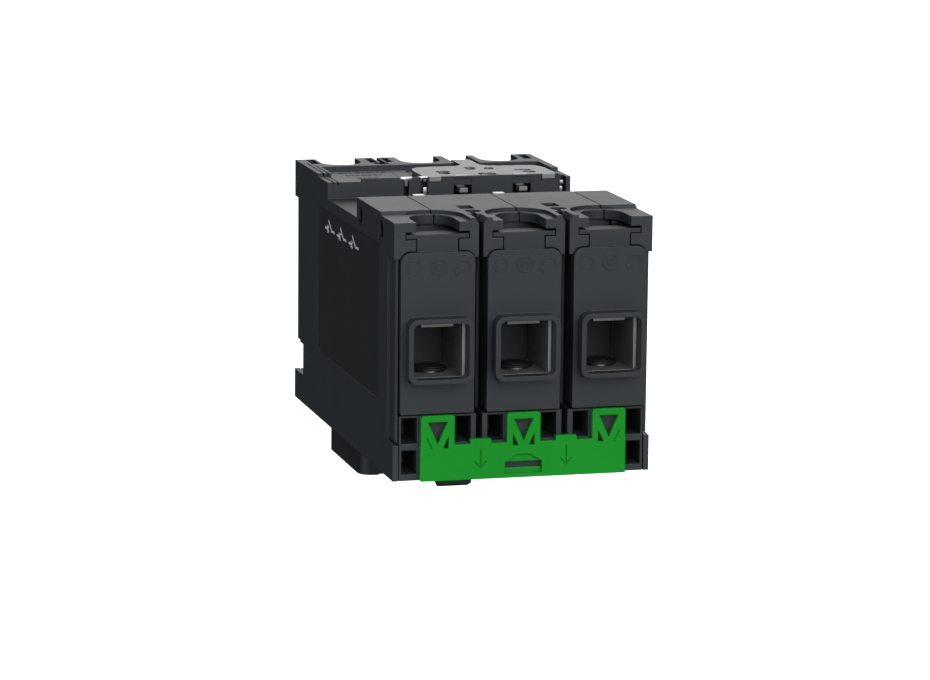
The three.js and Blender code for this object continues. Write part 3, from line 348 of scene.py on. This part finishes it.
def lathe(bm, profile, place, sides=28):
    """A closed ring or cup: the profile is (radius, height), from the axis out and back to it."""
    rings = []
    for r, h in profile:
        if r == 0:
            rings.append([bm.verts.new(place(0, 0, h))])
            continue
        turns = [2 * math.pi * i / sides for i in range(sides)]
        rings.append([bm.verts.new(place(r * math.cos(t), r * math.sin(t), h)) for t in turns])
    for one, two in zip(rings, rings[1:]):
        for i in range(sides):
            j = (i + 1) % sides
            if len(one) == 1:
                bm.faces.new((one[0], two[i], two[j]))
            elif len(two) == 1:
                bm.faces.new((one[i], one[j], two[0]))
            else:
                bm.faces.new((one[i], one[j], two[j], two[i]))


def circle(u, v, r, start=0, end=360, steps=24):
    span = range(steps if end - start == 360 else steps + 1)
    turns = [math.radians(start + (end - start) * i / steps) for i in span]
    return [(u + r * math.cos(t), v + r * math.sin(t)) for t in turns]


def piece(name, bm, paint, body, round_mm=0.0):
    bmesh.ops.remove_doubles(bm, verts=bm.verts[:], dist=1e-7)
    bmesh.ops.recalc_face_normals(bm, faces=bm.faces[:])
    mesh = bpy.data.meshes.new(name)
    bm.to_mesh(mesh)
    bm.free()
    mesh.materials.append(PAINTS[paint])
    obj = bpy.data.objects.new(name, mesh)
    bpy.context.scene.collection.objects.link(obj)
    if round_mm:
        bevel = obj.modifiers.new("bevel", "BEVEL")
        bevel.width = round_mm * MM
        bevel.segments = 2
        bevel.limit_method = "ANGLE"
    obj.modifiers.new("smooth", "NODES").node_group = SMOOTH
    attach(obj, body)
    return obj


def on_side(side, x, y, z):
    """u along Z, v along Y, on a side face."""
    return lambda u, v, h: Vector((side * (x + h), y + v, z + u)) * MM


def on_rear(x, y, z):
    """u along X, v along Z, height out of the rear."""
    return lambda u, v, h: Vector((x + u, y + h, z + v)) * MM


def on_front(x, y, z):
    """u along X, v along Z, height out of the front."""
    return lambda u, v, h: Vector((x + u, y - h, z + v)) * MM


def on_end(sign, x, y, z):
    """u along X and v along Y on an end face, as someone who faces that end sees them."""
    return lambda u, v, h: Vector((x + sign * u, y + v, sign * (z + h))) * MM


def across(z0):
    """u along X, v along Y, height along Z from z0."""
    return lambda u, v, h: Vector((u, v, z0 + h)) * MM


def side_marks():
    """Three plain breaker symbols in a row, one per pole, printed on each side label."""
    for side, word in ((-1, "left"), (1, "right")):
        bm = bmesh.new()
        for i in range(3):
            place = on_side(side, LABEL, -16.0, -24.0 + 16.5 * i)
            ribbon(bm, [(0, 0), (4, 0)], 0.8, place, 0.05)
            ribbon(bm, [(2.9, -1.1), (5.1, 1.1)], 0.7, place, 0.055)
            ribbon(bm, [(2.9, 1.1), (5.1, -1.1)], 0.7, place, 0.06)
            ribbon(bm, [(9.2, 0), (4.8, 2.9)], 0.8, place, 0.065)
            ribbon(bm, [(9, 0), (13, 0)], 0.8, place, 0.05)
        piece(f"side_mark_{word}", bm, "ink", "case")


def terminal_marks():
    """Raised signs on each terminal block: hexagon key, cable section and turning direction."""
    for end, sign in ENDS.items():
        for i, x in enumerate(POLES):
            place = on_end(sign, x, -14.4, TERMINAL)
            bm = bmesh.new()
            ribbon(bm, circle(-7.6, 0, 2.3, steps=6), 0.5, place, 0.16, closed=True)
            ribbon(bm, circle(0, 0, 2.4), 0.5, place, 0.16, closed=True)
            ribbon(bm, circle(0, 0, 1.0, steps=12), 0.5, place, 0.16, closed=True)
            ribbon(bm, circle(7.6, -0.3, 2.1, start=-30, end=210), 0.5, place, 0.16)
            prism(bm, [(4.6, -1.1), (6.9, -1.1), (5.7, -2.9)], place, -0.06, 0.17)
            piece(f"terminal_mark_{end}_{i + 1}", bm, "housing", "case")


def field_print():
    """Faint dark rows of plain dashes and a ruled corner on the load block's sunken field."""
    bm = bmesh.new()
    place = on_rear(0, REAR - FIELD_DEPTH, 0)
    rows = ((-31.5, -15.5, -44), (-30.5, -18.0, -38), (-28.0, -20.5, -31.5))
    for start, end, z in rows:
        u = start
        step = 0
        while u < end:
            length = (1.5, 0.8, 1.1, 2.0, 0.9)[step % 5]
            ribbon(bm, [(u, z), (min(u + length, end), z)], 1.6, place, 0.04)
            u += length + 0.6
            step += 1
    piece("field_print", bm, "faded", "case")
    bm = bmesh.new()
    ribbon(bm, [(-17.5, -47.5), (-13.8, -47.5), (-13.8, -29.0)], 0.35, place, 0.05)
    piece("field_rule", bm, "black", "case")


def number(bm, digit, place, size=3.0):
    """A plain digit from straight strokes, for a face that is read from the front."""
    w, h = size * 0.55, size
    shapes = {
        "1": [[(0.2, 0.75), (0.6, 1), (0.6, 0)]],
        "2": [[(0, 1), (1, 1), (1, 0.5), (0, 0.5), (0, 0), (1, 0)]],
        "3": [[(0, 1), (1, 1), (1, 0), (0, 0)], [(0.2, 0.5), (0.85, 0.5)]],
        "4": [[(0, 1), (0, 0.45), (1, 0.45)], [(0.75, 1), (0.75, 0)]],
        "5": [[(1, 1), (0, 1), (0, 0.55), (1, 0.55), (1, 0), (0, 0)]],
        "6": [[(1, 1), (0, 1), (0, 0), (1, 0), (1, 0.55), (0.12, 0.55)]],
    }
    for k, line in enumerate(shapes[digit]):
        points = [((u - 0.5) * w, (v - 0.5) * h) for u, v in line]
        ribbon(bm, points, 0.45, place, 0.05 + 0.01 * k)


def front_marks():
    """Terminal numbers on the front shoulders and the plain on and off signs by the toggle."""
    for end, sign, digits in (("line", 1, "135"), ("load", -1, "246")):
        for i, digit in enumerate(digits):
            bm = bmesh.new()
            number(bm, digit, on_front(POLES[i], SHOULDER, sign * 50.5))
            piece(f"number_{end}_{i + 1}", bm, "ink", "case")
    bm = bmesh.new()
    ribbon(bm, [(0, -1.6), (0, 1.6)], 0.6, on_front(11, NOSE, 9), 0.05)
    ribbon(bm, circle(0, 0, 1.5), 0.6, on_front(11, NOSE, -13), 0.05, closed=True)
    piece("on_off_signs", bm, "ink", "case")


def hole_sleeves():
    """Black lining of the two round holes near the rear of each side."""
    for side, word in ((-1, "left"), (1, "right")):
        for i, (y, z) in enumerate(((-5.0, 24.7), (-5.4, 51.9))):
            bm = bmesh.new()
            cup = [(0, -8.7), (3.1, -8.7), (3.1, -0.25), (2.75, 0.02), (2.55, -0.3), (2.55, -8.2),
                   (0, -8.2)]
            lathe(bm, cup, on_side(side, SIDE, y, z))
            piece(f"hole_sleeve_{word}_{i + 1}", bm, "black", "case")


def toggle_ribs():
    """Finger ribs across both faces of the toggle's grip."""
    swing = [j for j in frame["record"]["behaviour"]["joints"] if j["name"] == "toggle_swing"][0]
    turn = Matrix.Rotation(math.radians(swing["range_deg"][1] / 2), 4, "X")
    pivot = Vector(swing["pos_m"]) / MM
    half_width = 5.3
    profile = ((-0.45, -0.3), (-0.3, 0.2), (0, 0.36), (0.3, 0.2), (0.45, -0.3))
    bm = bmesh.new()
    for face in (-1, 1):
        for y in (-37.2, -38.6, -40.0, -41.4):
            z = 4.2 - (abs(y) - 36) * 0.087    # the grip tapers towards its tip
            section = [(y + dy, z + dz) for dy, dz in profile]

            def place(u, v, h):
                return (pivot + turn @ Vector((h, u, face * v))) * MM

            prism(bm, section, place, -half_width, half_width)
    piece("toggle_ribs", bm, "black", "toggle")


def rail_parts():
    """Small bright metal parts seen at the rail channel's load-end wall, and the claws' caps."""
    bm = bmesh.new()
    tee = [(-16.9, -0.35), (-16.3, 0.2), (-12.9, 0.2), (-12.3, -0.35), (-12.8, -0.7), (-14.1, -1.0),
           (-14.2, -2.9), (-15.2, -2.9), (-15.3, -1.0), (-16.5, -0.7)]
    prism(bm, tee, across(-20.6), 0, 0.75)
    piece("latch_tee", bm, "bright", "case", 0.12)
    bm = bmesh.new()
    hook = [(-10.9, -0.5), (-10.4, 0.1), (-9.0, 0.22), (-7.4, 0.1), (-6.9, -0.35), (-8.6, -0.45),
            (-9.4, -0.8), (-9.7, -1.5), (-10.2, -1.2)]
    prism(bm, hook, across(-21.0), 0, 1.0)
    piece("latch_hook", bm, "bright", "case", 0.1)
    bm = bmesh.new()
    prism(bm, [(-8.9, -3.5), (-7.7, -3.3), (-7.6, -6.1), (-9.0, -6.1)], across(-21.6), 0, 1.2)
    piece("latch_post", bm, "steel", "case", 0.12)
    bm = bmesh.new()
    prism(bm, [(36.9, -2.3), (38.1, -2.2), (38.2, -3.4), (36.9, -3.5)], across(-21.2), 0, 1.0)
    prism(bm, [(36.9, -4.2), (37.9, -4.1), (37.9, -6.1), (36.9, -6.1)], across(-21.4), 0, 1.0)
    piece("latch_stops", bm, "steel", "case", 0.15)
    for i, x in enumerate((-20.2, 5.7)):
        bm = bmesh.new()
        cap = [(-1.72, -1.0), (-1.72, -0.05), (1.72, -0.05), (1.72, -1.0), (1.5, -1.0), (1.5, -0.3),
               (-1.5, -0.3), (-1.5, -1.0)]
        prism(bm, [(x + u, v) for u, v in cap], across(16.4), 0, 3.5)
        piece(f"claw_cap_{i + 1}", bm, "bright", "case", 0.08)


def clip_parts():
    """Rolled bends over the clip's two hooks, painted brighter than the clip as a painted highlight, and the
    eyelet at its near edge.
    """
    for i, (x0, x1) in enumerate(((1.7, 6.2), (21.4, 26.2))):
        bm = bmesh.new()
        roll = [(-22.2, -0.2), (-21.9, 0.1), (-21.5, 0.2), (-21.2, 0.1), (-21.0, -0.2)]

        def place(u, v, h):
            return Vector((h, v, u)) * MM

        # The bends belong to the clip's own sheet; the brighter steel on them is a painted highlight on
        # their outer radius.
        prism(bm, roll, place, x0, x1)
        piece(f"clip_bend_highlight_{i + 1}", bm, "bright", "rail_clip")
    bm = bmesh.new()
    rim = [(1.5, -1.2), (2.5, -1.2), (2.55, -0.7), (2.3, -0.45), (1.8, -0.45), (1.5, -0.8)]
    lathe(bm, rim + rim[:1], on_rear(13.9, REAR, -23.8))
    piece("clip_eyelet", bm, "steel", "rail_clip")


side_marks()
terminal_marks()
field_print()
front_marks()
hole_sleeves()
toggle_ribs()
rail_parts()
clip_parts()


# ---------------------------------------------------------------------------------------------
# Camera, floor and light
# ---------------------------------------------------------------------------------------------

LOOK = (0.25526, -0.17148, -0.95156)    # direction of view: down the length, from the line end
DISTANCE = 1.249
LENS = 151.13
ROLL = math.radians(0.577)
DIP = math.radians(0.458)
FLOOR = -0.42


def turned(a, b, angle):
    """Two square directions after a turn from the first towards the second."""
    return a * math.cos(angle) + b * math.sin(angle), b * math.cos(angle) - a * math.sin(angle)


def make_camera():
    target = Vector([middle("base_case", axis) for axis in "XYZ"]) * MM
    look = Vector(LOOK).normalized()
    right = look.cross(Vector((0, 1, 0))).normalized()
    right, up = turned(right, right.cross(look), ROLL)
    place = target - look * DISTANCE
    look, up = turned(look, up, -DIP)
    data = bpy.data.cameras.new("camera")
    data.lens = LENS
    data.sensor_width = 36
    data.clip_start = 0.01
    data.clip_end = 100
    camera = bpy.data.objects.new("camera", data)
    camera.matrix_world = Matrix((
        (right.x, up.x, -look.x, place.x),
        (right.y, up.y, -look.y, place.y),
        (right.z, up.z, -look.z, place.z),
        (0, 0, 0, 1),
    ))
    bpy.context.scene.collection.objects.link(camera)
    bpy.context.scene.camera = camera


def make_floor():
    mesh = bpy.data.meshes.new("floor")
    size = 12
    corners = [(-size, -size, 0), (size, -size, 0), (size, size, 0), (-size, size, 0)]
    mesh.from_pydata(corners, [], [(0, 1, 2, 3)])
    floor = bpy.data.objects.new("floor", mesh)
    floor.location.z = FLOOR
    g = Graph("floor_paint", (0.86, 0.86, 0.86), 0.85, specular=0.1)
    g.shader.inputs["Emission Color"].default_value = (1, 1, 1, 1)
    g.shader.inputs["Emission Strength"].default_value = 0.75
    mesh.materials.append(g.material)
    # The part is lit by the lamps alone, so that a white floor doesn't wash its dark sides out.
    floor.visible_diffuse = False
    floor.visible_glossy = False
    floor.visible_shadow = False
    bpy.context.scene.collection.objects.link(floor)


def sun(name, travel, strength, spread, colour=(1, 1, 1)):
    data = bpy.data.lights.new(name, "SUN")
    data.color = colour
    data.energy = strength
    data.angle = math.radians(spread)
    lamp = bpy.data.objects.new(name, data)
    lamp.rotation_euler = Vector(travel).to_track_quat("-Z", "Y").to_euler()
    bpy.context.scene.collection.objects.link(lamp)


def make_world():
    """Soft white above the horizon and dim below it."""
    world = bpy.data.worlds.new("studio")
    world.use_nodes = True
    tree = world.node_tree
    coords = tree.nodes.new("ShaderNodeTexCoord")
    split = tree.nodes.new("ShaderNodeSeparateXYZ")
    ramp = tree.nodes.new("ShaderNodeMapRange")
    ramp.inputs["From Min"].default_value = -0.15
    ramp.inputs["From Max"].default_value = 0.25
    ramp.inputs["To Min"].default_value = 0.05
    ramp.inputs["To Max"].default_value = 0.42
    tree.links.new(coords.outputs["Generated"], split.inputs["Vector"])
    tree.links.new(split.outputs["Z"], ramp.inputs["Value"])
    tree.links.new(ramp.outputs["Result"], tree.nodes["Background"].inputs["Strength"])
    tree.nodes["Background"].inputs["Color"].default_value = (0.97, 0.985, 1, 1)
    bpy.context.scene.world = world


def make_light():
    bpy.context.scene.view_settings.view_transform = "Standard"
    make_world()
    sun("overhead", (-0.15, -0.55, -1), 1.9, 50)
    sun("rear_sheen", (-0.3, -0.5, 0.81), 1.1, 60)
    sun("front_fill", (0.1, 1, -0.35), 0.25, 60)
    sun("left_fill", (1, -0.1, -0.35), 0.8, 60, (0.78, 0.92, 1))


make_camera()
make_floor()
make_light()
